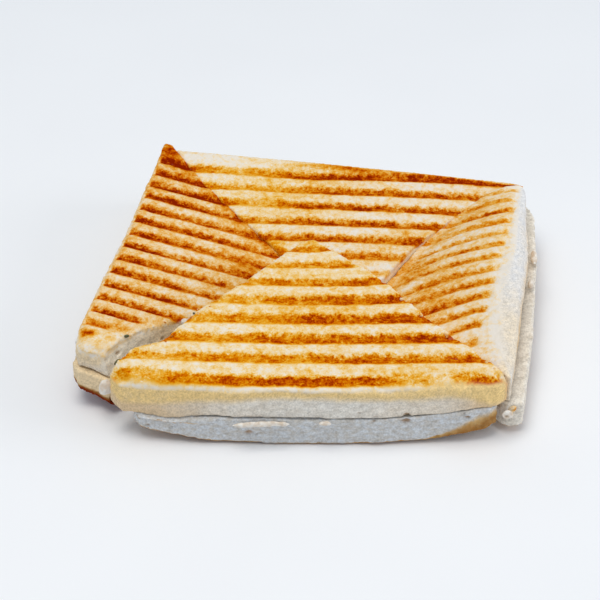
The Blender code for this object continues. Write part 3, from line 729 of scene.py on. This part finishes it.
def filling_layer(name):
    """One wedge's filling, which leans with the left wedge's torn wall."""
    layer = copy_of(f"{name}_filling", f"{name}_filling_layer")
    fine_skin(layer, FILLING_VOXEL)
    if name == "left":
        lean(layer)
    push(layer, ROUGH, LUMPINESS, "")
    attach(layer, "root")
    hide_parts(f"{name}_filling")
    print(layer.name, len(layer.data.vertices), "vertices")
    return layer


FILLINGS = {name: filling_layer(name) for name in WEDGES}

# %% [markdown]
# ## Cheese and pepper that ran out of the seams
# Melted cheese sets in soft, uneven lumps. Noise alone would leave them rough like crumb, so each lump
# is remeshed finely, pushed by the noise and then smoothed, and looks as if it had flowed. The drip at
# the right front corner is flatter than its node and has a hole pressed in.

# %% Lumps
LUMP_VOXEL = 0.0002
FLAT_DRIP = "right_corner_cheese"


def flatten_drip(piece):
    """Draws a drip in towards a point near its middle and presses a hole in its front."""
    points = plan_points(piece.data)
    middle = points.mean(axis=0) + (0.0, 0.6, -0.6)
    move(piece, (middle - points) * (0.2, 0.5, 0.35))
    press_holes(piece, [(*(middle - (0.2, 2.0, 0.0)), 0.7, 1.0)])


def lump(node, name):
    """A lump of cheese or pepper made from its node, rounded as if it had flowed."""
    piece = copy_of(node, name)
    fine_skin(piece, LUMP_VOXEL)
    if node == FLAT_DRIP:
        flatten_drip(piece)
    push(piece, ROUGH, LUMPINESS, "")
    finish_with(piece, "SMOOTH", factor=0.5, iterations=5)
    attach(piece, "root")
    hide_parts(node)
    return piece


CHEESE_NODES = [node for node in sorted(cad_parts) if "cheese" in node]
CHEESE = [lump(node, node + "_lump") for node in CHEESE_NODES]
PEPPER = lump("left_pepper", "left_pepper_piece")
print("lumps:", [piece.name for piece in CHEESE], PEPPER.name)

# %% [markdown]
# Small bits came loose when the sandwich was cut: a puff of torn crumb at the left end, white cheese in
# the open gap, herbs on the cut edge, a toasted bit at the right front corner, and crumbs along the
# cuts. They are too small for nodes of their own in the CAD. Each cluster starts as squashed balls, which
# a remesh melts into one skin and a noise roughens. Only the loose crumbs stay apart.

# %% Loose bits
BALL_TILT = (0.3, 0.2)


def bits(name, balls, voxel, rough, merged=True):
    """Balls: plan position, three half sizes and a turn, in millimetres and degrees."""
    bpy.ops.object.select_all(action="DESELECT")
    made = []
    for x, y, z, half_x, half_y, half_z, turn in balls:
        place = ((x - PLAN_X) / MM_PER_METRE, (y - PLAN_Y) / MM_PER_METRE, z / MM_PER_METRE)
        bpy.ops.mesh.primitive_ico_sphere_add(
            subdivisions=2, radius=1.0 / MM_PER_METRE, location=place,
            rotation=(*BALL_TILT, math.radians(turn)), scale=(half_x, half_y, half_z))
        made.append(bpy.context.object)
    for ball in made:
        ball.select_set(True)
    if len(made) > 1:
        bpy.ops.object.join()
    bpy.ops.object.transform_apply(location=True, rotation=True, scale=True)
    piece = bpy.context.object
    piece.name = name
    if merged:
        fine_skin(piece, voxel)
    push(piece, ROUGH, rough, "")
    keep_inside(piece)
    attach(piece, "root")
    print(piece.name, len(piece.data.vertices), "vertices")
    return piece


def crumbs_along(line, height, count, chance):
    """Small balls scattered beside a line, at about this height."""
    balls = []
    for _ in range(count):
        step = chance.uniform(0.0, len(line) - 1.001)
        start, end = np.array(line[int(step)], float), np.array(line[int(step) + 1], float)
        x, y = start + (end - start) * (step - int(step)) + chance.normal(0.0, 0.3, 2)
        z = height(x, y) + chance.uniform(-0.1, 0.2)
        balls.append((x, y, z, *chance.uniform(0.2, 0.55, 3), chance.uniform(0, 180)))
    return balls


def height_on(wedge, drop):
    """Height of a wedge's top less a drop, at one plan place."""
    return lambda x, y: float(top_height(wedge, np.array([[x, y, 0.0]]))[0]) - drop


CRUMB_CHANCE = np.random.default_rng(7)
CRUMB_LINES = [
    ("left", [(-50.4, -46.2), (-30.5, -30.6), (-14.5, -18.4)], 0.5, 16),
    ("front", [(-46, -57.2), (-38.6, -53.5), (-29.3, -41.5), (-14.6, -26.8)], 0.5, 14),
    ("front", [(57, -67.4), (37, -45.5), (23.6, -27.3)], 0.4, 12),
]
LOOSE_CRUMBS = []
for name, line, drop, count in CRUMB_LINES:
    LOOSE_CRUMBS += crumbs_along(line, height_on(WEDGES[name], drop), count, CRUMB_CHANCE)
BITS = [
    (bits("puffy_crumb", [(-64.0, -41.5, 12.2, 1.6, 2.0, 1.7, 10), (-64.3, -43.2, 15.2, 1.3, 1.6, 1.8, 40),
                          (-64.2, -45.0, 11.6, 1.4, 1.5, 1.5, 0), (-63.6, -40.2, 15.0, 1.2, 1.3, 1.2, 70)],
          0.0003, 0.0009), "crumb"),
    (bits("white_cheese_bits", [(-33.8, -37.0, 18.0, 1.4, 1.1, 1.1, 20),
                                (-33.0, -35.4, 16.2, 1.7, 1.5, 1.8, 0),
                                (-31.4, -35.8, 17.4, 1.0, 0.9, 0.9, 0)],
          0.0003, 0.0007), "cheese"),
    (bits("herb_bits", [(-50.0, -47.0, 20.3, 0.9, 0.5, 0.5, 30),
                        (-31.5, -32.0, 17.6, 0.5, 0.4, 0.4, 80)],
          0.0002, 0.0003), "pepper"),
    (bits("toasted_bit", [(60.2, -66.2, 8.6, 1.2, 0.8, 1.5, 20), (59.6, -66.3, 6.8, 0.9, 0.7, 0.9, 0)],
          0.0003, 0.0005), "toast"),
    (bits("loose_crumbs", LOOSE_CRUMBS, 0.0002, 0.0003, merged=False), "toast"),
]

# %% [markdown]
# ## Materials
# A material is a small calculation that runs for every point of a surface. Placing its nodes by hand
# would hide what it works out. The class below lets it be written as ordinary arithmetic instead: each
# `+`, `-` or `*` adds the Math node that does it.

# %% Shader arithmetic
def feed(tree, socket, value):
    """Links a value to a socket, or sets the socket to a plain number or colour."""
    if isinstance(value, Value):
        tree.links.new(value.socket, socket)
    else:
        socket.default_value = value


def set_stops(ramp, stops):
    """Gives a colour ramp its stops, each a place and a colour, from low to high."""
    elements = ramp.elements
    elements[0].position, elements[0].color = stops[0]
    elements[1].position, elements[1].color = stops[-1]
    for place, tint in stops[1:-1]:
        elements.new(place).color = tint


def add_node(tree, kind, settings, sockets):
    """Adds a node: its settings are set first, then its sockets get their values or links."""
    made = tree.nodes.new(kind)
    for setting, value in settings.items():
        if setting == "stops":
            set_stops(made.color_ramp, value)
        else:
            setattr(made, setting, value)
    for socket, value in sockets.items():
        feed(tree, made.inputs[socket], value)
    return made


class Value:
    """A number or colour on its way through a material."""

    def __init__(self, tree, socket):
        self.tree = tree
        self.socket = socket

    def math(self, operation, *others):
        made = add_node(self.tree, "ShaderNodeMath", {"operation": operation}, dict(enumerate(others)))
        return Value(self.tree, made.outputs[0])

    def __add__(self, other):
        return self.math("ADD", self, other)

    def __radd__(self, other):
        return self.math("ADD", other, self)

    def __sub__(self, other):
        return self.math("SUBTRACT", self, other)

    def __rsub__(self, other):
        return self.math("SUBTRACT", other, self)

    def __mul__(self, other):
        return self.math("MULTIPLY", self, other)

    def __rmul__(self, other):
        return self.math("MULTIPLY", other, self)

    def __truediv__(self, other):
        return self.math("DIVIDE", self, other)

    def __neg__(self):
        return self.math("MULTIPLY", self, -1.0)

    def fract(self):
        return self.math("FRACT", self)

    def at_most(self, other):
        return self.math("MINIMUM", self, other)

    def at_least(self, other):
        return self.math("MAXIMUM", self, other)

    def rise(self, start, end):
        """0 before start, 1 after end, and smooth between them."""
        made = add_node(self.tree, "ShaderNodeMapRange", {"interpolation_type": "SMOOTHSTEP"},
                        {"Value": self, "From Min": start, "From Max": end})
        return Value(self.tree, made.outputs[0])


def colour(red, green, blue):
    """A colour as a screen shows it, from 0 to 255, in the linear light that a material works in."""
    def linear(c):
        c /= 255.0
        return c / 12.92 if c <= 0.04045 else ((c + 0.055) / 1.055) ** 2.4
    return (linear(red), linear(green), linear(blue), 1.0)


# %% [markdown]
# Every finish of the sandwich is built the same way: one Principled shader, noises whose lumps are given
# in millimetres, the numbers stored on the vertices, and mixes of colours. One small class holds a
# finish while it is put together.

# %% A finish and its nodes
class Finish:
    """A material with one Principled shader, and the nodes that feed it."""

    def __init__(self, name, roughness, **fixed):
        self.material = bpy.data.materials.new(name)
        self.material.use_nodes = True
        self.tree = self.material.node_tree
        self.shader = self.tree.nodes["Principled BSDF"]
        self.shader.inputs["Roughness"].default_value = roughness
        for socket, value in fixed.items():
            self.shader.inputs[socket.replace("_", " ")].default_value = value
        self.place = self.node("ShaderNodeTexCoord", {}, {}, "Object")

    def node(self, kind, settings, sockets, output=0):
        """Adds a node and gives one of its outputs back as a value."""
        return Value(self.tree, add_node(self.tree, kind, settings, sockets).outputs[output])

    def attribute(self, name):
        return self.node("ShaderNodeAttribute", {"attribute_name": name}, {}, "Fac")

    def noise(self, size_mm, detail=2.0, roughness=0.5, stretch=None):
        """Noise from 0 to 1 whose lumps are about size_mm wide."""
        place = self.place
        if stretch:
            place = self.node("ShaderNodeMapping", {}, {"Vector": place, "Scale": stretch})
        return self.node("ShaderNodeTexNoise", {}, {"Vector": place, "Scale": MM_PER_METRE / size_mm,
                                                    "Detail": detail, "Roughness": roughness})

    def ramp(self, value, stops):
        return self.node("ShaderNodeValToRGB", {"stops": stops}, {0: value})

    def mix(self, share, first, second, way="MIX"):
        """The first colour where the share is 0, the second where it is 1."""
        settings = {"data_type": "RGBA", "blend_type": way}
        return self.node("ShaderNodeMix", settings, {0: share, 6: first, 7: second}, 2)

    def bump(self, height, strength, distance_mm):
        bumped = self.node("ShaderNodeBump", {}, {"Height": height, "Strength": strength,
                                                  "Distance": distance_mm / MM_PER_METRE})
        feed(self.tree, self.shader.inputs["Normal"], bumped)

    def paint(self, tint):
        feed(self.tree, self.shader.inputs["Base Color"], tint)


# %% [markdown]
# Toasting turns bread from cream through straw, gold and orange-brown to a deep red-brown. A mix of two
# colours would miss the golden middle, so ramps hold that scale: a plain one, and a golden one for bread
# that was buttered more. The crumb has its own few colours, warm and tan. There is also a darker, bluish
# crumb, which is painted shade with a painted bluish reflection, and a brown painted shade in its pits.

# %% Toast scales
PLAIN = [(0.00, colour(231, 223, 214)), (0.15, colour(234, 214, 187)), (0.30, colour(233, 199, 148)),
         (0.45, colour(228, 174, 94)), (0.60, colour(219, 142, 34)), (0.72, colour(205, 108, 6)),
         (0.85, colour(180, 66, 0)), (1.00, colour(134, 28, 0))]
GOLDEN = [(0.00, colour(236, 225, 209)), (0.15, colour(240, 216, 174)), (0.30, colour(237, 199, 128)),
          (0.45, colour(233, 175, 60)), (0.60, colour(224, 144, 8)), (0.72, colour(208, 110, 0)),
          (0.85, colour(186, 74, 0)), (1.00, colour(146, 36, 0))]
CRUMB = colour(232, 226, 216)
CRUMB_SHADE = colour(216, 208, 196)
CRUMB_WARM = colour(232, 208, 170)
CRUMB_TAN = colour(218, 184, 136)
# The next two colours are painted shade with a painted bluish reflection, used on the front bottom crumb.
PAINTED_SHADE_CRUMB = colour(207, 210, 214)
PAINTED_SHADE_CRUMB_DARK = colour(200, 194, 186)
# Brown painted shade for the bottom of the pits, mixed in by their depth.
PAINTED_PIT_SHADE = colour(170, 124, 70)
SHOULDER_TAN = colour(235, 202, 140)
SHOULDER_PALE = colour(221, 219, 218)
# Fresh cut crumb is whiter. This colour is also made lighter still, as painted light on cut walls that lie in
# shade.
CUT_CRUMB_AND_PAINTED_LIGHT = colour(250, 238, 216)
print("steps of toasting:", len(PLAIN), "plain,", len(GOLDEN), "golden")

# %% [markdown]
# The crust: each grill mark is a browned band, steep on its near side and fading slowly to the back,
# whose edges are frayed by noise. A wave texture would make all marks alike, so the material reads each
# mark's own numbers from the vertices. A slow noise makes a mark browner here and paler there. The bread
# between the marks is mottled. Below the crust comes a shoulder that the grill never touched, pale or
# tan, then the crumb, both with a fine grain.

# %% Toasted crust
CRUMB_STRETCH = (1.0, 1.0, 1.8)
NEAR_FADE, BACK_FADE = 1.55, 2.1


def toasted_crust():
    """The finish of the top slices."""
    finish = Finish("toasted crust and crumb", 0.8, Specular_IOR_Level=0.0)
    coarse = finish.noise(6.0, 2.0)
    fine = finish.noise(1.6, 3.0, 0.6)
    grit = finish.noise(0.55, 2.0, 0.6)
    blotch = finish.noise(3.2, 3.0, 0.6)
    drift = finish.noise(10.0, 2.0)

    # How far a point is from the middle of its mark, and how much of the mark's brown it gets.
    number = finish.attribute("mark") + (coarse - 0.5) * 0.2 + (fine - 0.5) * 0.16 + (grit - 0.5) * 0.08
    off = (number + 0.5).fract() - 0.5
    half = finish.attribute("half")
    flat = finish.attribute("flat")
    from_middle = (off.at_least(0.0) / NEAR_FADE + (-off).at_least(0.0) / BACK_FADE) / half * (1.0 + flat)
    profile = 1.0 - from_middle.rise(flat, 1.0)

    # How toasted the point is, from 0 to 1.
    between = finish.attribute("between") + (finish.noise(7.0, 2.0) - 0.5) * 0.35
    brown = finish.attribute("browned") * (1.0 + (drift - 0.5) * 0.8)
    toast = between + (brown - between).at_least(0.0) * profile
    toast = toast + (blotch - 0.5) * 0.6 + (fine - 0.5) * 0.5 + (grit - 0.5) * (0.4 + 0.3 * brown * profile)
    # Small paler spots on the crust are painted highlights.
    toast = toast - finish.noise(1.2, 2.0, 0.5).rise(0.60, 0.72) * 0.16
    below = finish.attribute("below")
    outer = finish.attribute("outer")
    toast = toast - outer * below.rise(0.3, 1.3) * 0.15
    golden = finish.attribute("golden") + (coarse - 0.5) * 0.5
    crust = finish.mix(golden, finish.ramp(toast, PLAIN), finish.ramp(toast, GOLDEN))

    # The shoulder and the crumb, and where each of them begins.
    tan_depth = finish.attribute("tan_depth")
    tan = finish.attribute("tan") + (coarse - 0.5) * 0.4 + (fine - 0.5) * 0.3
    shoulder = finish.mix(tan, SHOULDER_PALE, SHOULDER_TAN)
    bare = outer * (below + (coarse - 0.5) * 1.2).rise(1.3, 2.6)
    edge = below + (fine - 0.5) * 1.2
    outer_crumb = outer * (below - tan_depth * 0.6 + (coarse - 0.5) * 3.0).rise(2.9, 5.8)
    crumb_share = outer_crumb + (1.0 - outer) * edge.rise(0.9, 1.9)
    mottle = finish.noise(2.6, 3.0, stretch=CRUMB_STRETCH).rise(0.3, 0.7)
    crumb = finish.mix(mottle, CRUMB_SHADE, CRUMB)
    # The cut walls get a whiter crumb: partly their own colour, partly painted light where they lie in shade.
    crumb = finish.mix((1.0 - outer) * 0.8, crumb, CUT_CRUMB_AND_PAINTED_LIGHT)
    crumb = finish.mix((tan_depth * 0.16 + (coarse - 0.5) * 0.3).at_most(0.8), crumb, CRUMB_TAN)
    # Deeper pits get more brown painted shade.
    crumb = finish.mix(finish.attribute("pit").rise(0.15, 0.8) * 0.6, crumb, PAINTED_PIT_SHADE)

    tint = finish.mix(crumb_share, finish.mix(bare, crust, shoulder), crumb)
    grain = 1.0 + ((grit - 0.5) * 0.9 + (fine - 0.5) * 0.5) * bare.at_least(crumb_share)
    finish.paint(finish.mix(1.0, tint, grain, "MULTIPLY"))
    finish.bump(fine * 0.5 + grit * 0.5, 0.6, 0.35)
    return finish.material


CRUST_FINISH = toasted_crust()
for slice_ in TOPS.values():
    slice_.data.materials.append(CRUST_FINISH)
print("crust nodes:", len(CRUST_FINISH.node_tree.nodes))

# %% [markdown]
# The crumb of the bottom slices is almost white and warmer on the left wedge. In front it is painted darker
# and bluish: painted shade with a painted bluish reflection. Its pits take a brown painted shade. One colour
# would look like plaster, so two noises mottle it. The toasted underside is a duller brown than the top,
# since it steamed while the sandwich cooled.

# %% White crumb
UNDERSIDE = [(0.0, colour(226, 206, 170)), (0.4, colour(196, 156, 100)), (0.7, colour(158, 108, 54)),
             (1.0, colour(126, 44, 12))]


def white_crumb():
    """The finish of the bottom slices: a tan above 0 warms the crumb, and one below 0 paints shade and a
    bluish reflection on it.
    """
    finish = Finish("white crumb", 0.8, Specular_IOR_Level=0.05)
    fine = finish.noise(2.2, 3.0, 0.6, stretch=CRUMB_STRETCH)
    grit = finish.noise(0.6, 2.0)
    sole = finish.attribute("sole")
    tan = finish.attribute("tan")
    mottle = fine.rise(0.3, 0.7)
    crumb = finish.mix(mottle, CRUMB_SHADE, CRUMB)
    crumb = finish.mix(tan, crumb, CRUMB_WARM)
    # Where the tan is below 0, the crumb takes the painted shade and bluish reflection.
    crumb = finish.mix(-tan, crumb, finish.mix(mottle, PAINTED_SHADE_CRUMB_DARK, PAINTED_SHADE_CRUMB))
    # Deeper pits get more brown painted shade.
    crumb = finish.mix(finish.attribute("pit").rise(0.15, 0.8) * 0.7, crumb, PAINTED_PIT_SHADE)
    toast = finish.attribute("brown") * sole + (finish.noise(3.0, 3.0) - 0.5) * 0.7 + (grit - 0.5) * 0.3
    tint = finish.mix((sole + (fine - 0.5) * 0.5).rise(0.2, 0.7), crumb, finish.ramp(toast, UNDERSIDE))
    finish.paint(finish.mix(1.0, tint, 1.0 + (grit - 0.5) * 0.8 + (fine - 0.5) * 0.4, "MULTIPLY"))
    finish.bump(fine * 0.4 + grit * 0.6, 0.5, 0.45)
    return finish.material


CRUMB_FINISH = white_crumb()
for slice_ in BOTTOMS.values():
    slice_.data.materials.append(CRUMB_FINISH)
print("crumb nodes:", len(CRUMB_FINISH.node_tree.nodes))

# %% [markdown]
# The small pieces differ mostly in colour and shine. Melted cheese is pale and a little shiny. The
# filling is a mash of butter, cheese and chopped greens, so its colour is patchy, and a ramp over one
# noise gives its few tones. The pepper is a dull green, and the toasted bits go from cream to brown.

# %% Filling, cheese and pepper
def vegetable_filling():
    """The finish of the layers between the slices."""
    finish = Finish("vegetable filling", 0.55)
    patch = finish.noise(2.4, 3.0)
    tint = finish.ramp(patch, [(0.0, colour(120, 92, 60)), (0.42, colour(186, 158, 118)),
                               (0.58, colour(222, 206, 176)), (0.75, colour(238, 228, 206))])
    finish.paint(tint)
    finish.bump(patch, 0.4, 0.5)
    return finish.material


def melted_cheese():
    """The finish of the lumps of cheese and the white bits."""
    finish = Finish("melted cheese", 0.5, Specular_IOR_Level=0.2)
    patch = finish.noise(1.6, 2.0)
    finish.paint(finish.mix(patch.rise(0.3, 0.7), colour(214, 196, 176), colour(238, 232, 224)))
    finish.bump(patch, 0.3, 0.3)
    return finish.material


def green_pepper():
    """The finish of the pepper and the herbs."""
    finish = Finish("green pepper", 0.45)
    finish.paint(finish.mix(finish.noise(0.8, 2.0), colour(52, 60, 30), colour(110, 104, 60)))
    finish.bump(finish.noise(0.5), 0.3, 0.2)
    return finish.material


def toasted_bits():
    """The finish of the toasted bit and the loose crumbs."""
    finish = Finish("toasted bits", 0.8, Specular_IOR_Level=0.0)
    shade = finish.noise(2.5, 2.0, 0.6)
    finish.paint(finish.ramp(shade, [(0.3, colour(236, 222, 196)), (0.5, colour(232, 186, 118)),
                                     (0.62, colour(206, 126, 44)), (0.75, colour(150, 66, 16))]))
    finish.bump(finish.noise(0.6), 0.4, 0.2)
    return finish.material


FILLING_FINISH = vegetable_filling()
CHEESE_FINISH = melted_cheese()
PEPPER_FINISH = green_pepper()
BIT_FINISH = {"crumb": CRUMB_FINISH, "cheese": CHEESE_FINISH, "pepper": PEPPER_FINISH,
              "toast": toasted_bits()}
for piece, finish_name in BITS:
    piece.data.materials.append(BIT_FINISH[finish_name])
for layer in FILLINGS.values():
    layer.data.materials.append(FILLING_FINISH)
for piece in CHEESE:
    piece.data.materials.append(CHEESE_FINISH)
PEPPER.data.materials.append(PEPPER_FINISH)
print("finishes:", [finish.name for finish in bpy.data.materials if finish.users])

# %% [markdown]
# ## Floor, light and camera
# The sandwich stands in soft daylight. One lamp alone would leave its sides too dark, so there are a
# large warm light high up, a cooler one from the right, and a bluish sky, which keeps the shaded sides
# cool. The floor is plain and pale.

# %% Floor and light
SKY, SKY_STRENGTH = (0.80, 0.90, 1.0, 1.0), 0.56
bpy.ops.object.select_all(action="DESELECT")
bpy.ops.mesh.primitive_plane_add(size=6.0, location=(0.0, 0.0, 0.0))
floor = bpy.context.object
floor.name = "floor"
floor_finish = Finish("pale floor", 0.6)
floor_finish.paint(floor_finish.mix(floor_finish.noise(80.0), colour(240, 240, 242), colour(246, 246, 248)))
floor.data.materials.append(floor_finish.material)


def soft_light(name, place, size, power, tint):
    """A square lamp that is turned to the middle of the sandwich."""
    light = bpy.data.lights.new(name, "AREA")
    light.size = size
    light.energy = power
    light.color = tint
    lamp = bpy.data.objects.new(name, light)
    lamp.location = place
    lamp.rotation_euler = (-Vector(place)).to_track_quat("-Z", "Y").to_euler()
    bpy.context.scene.collection.objects.link(lamp)


soft_light("high light", (-0.15, -0.12, 1.0), 0.6, 5.2, (1.0, 0.955, 0.885))
soft_light("right light", (0.95, -0.1, 0.35), 0.6, 3.1, (0.98, 0.98, 1.0))
world = bpy.data.worlds.new("studio")
world.use_nodes = True
sky = world.node_tree.nodes["Background"]
sky.inputs["Color"].default_value = SKY
sky.inputs["Strength"].default_value = SKY_STRENGTH
bpy.context.scene.world = world
bpy.context.scene.view_settings.view_transform = "Standard"
print("lights:", [lamp.name for lamp in bpy.data.lights])

# %% [markdown]
# The camera looks down on the sandwich from the front, at 35 degrees below level, so that the marks,
# the seam and the open cut all show. A long lens from further off keeps the square from narrowing much
# to the back.

# %% Camera
LENS_MM = 103.95
CAMERA_PLACE = (-0.0054, -0.4429, 0.3155)
CAMERA_TILT = math.radians(55.0)
camera_data = bpy.data.cameras.new("camera")
camera_data.lens = LENS_MM
camera_data.clip_start = 0.01
camera = bpy.data.objects.new("camera", camera_data)
camera.location = CAMERA_PLACE
camera.rotation_euler = (CAMERA_TILT, 0.0, 0.0)
bpy.context.scene.collection.objects.link(camera)
bpy.context.scene.camera = camera
print("camera:", round(Vector(CAMERA_PLACE).length, 3), "m from the middle")
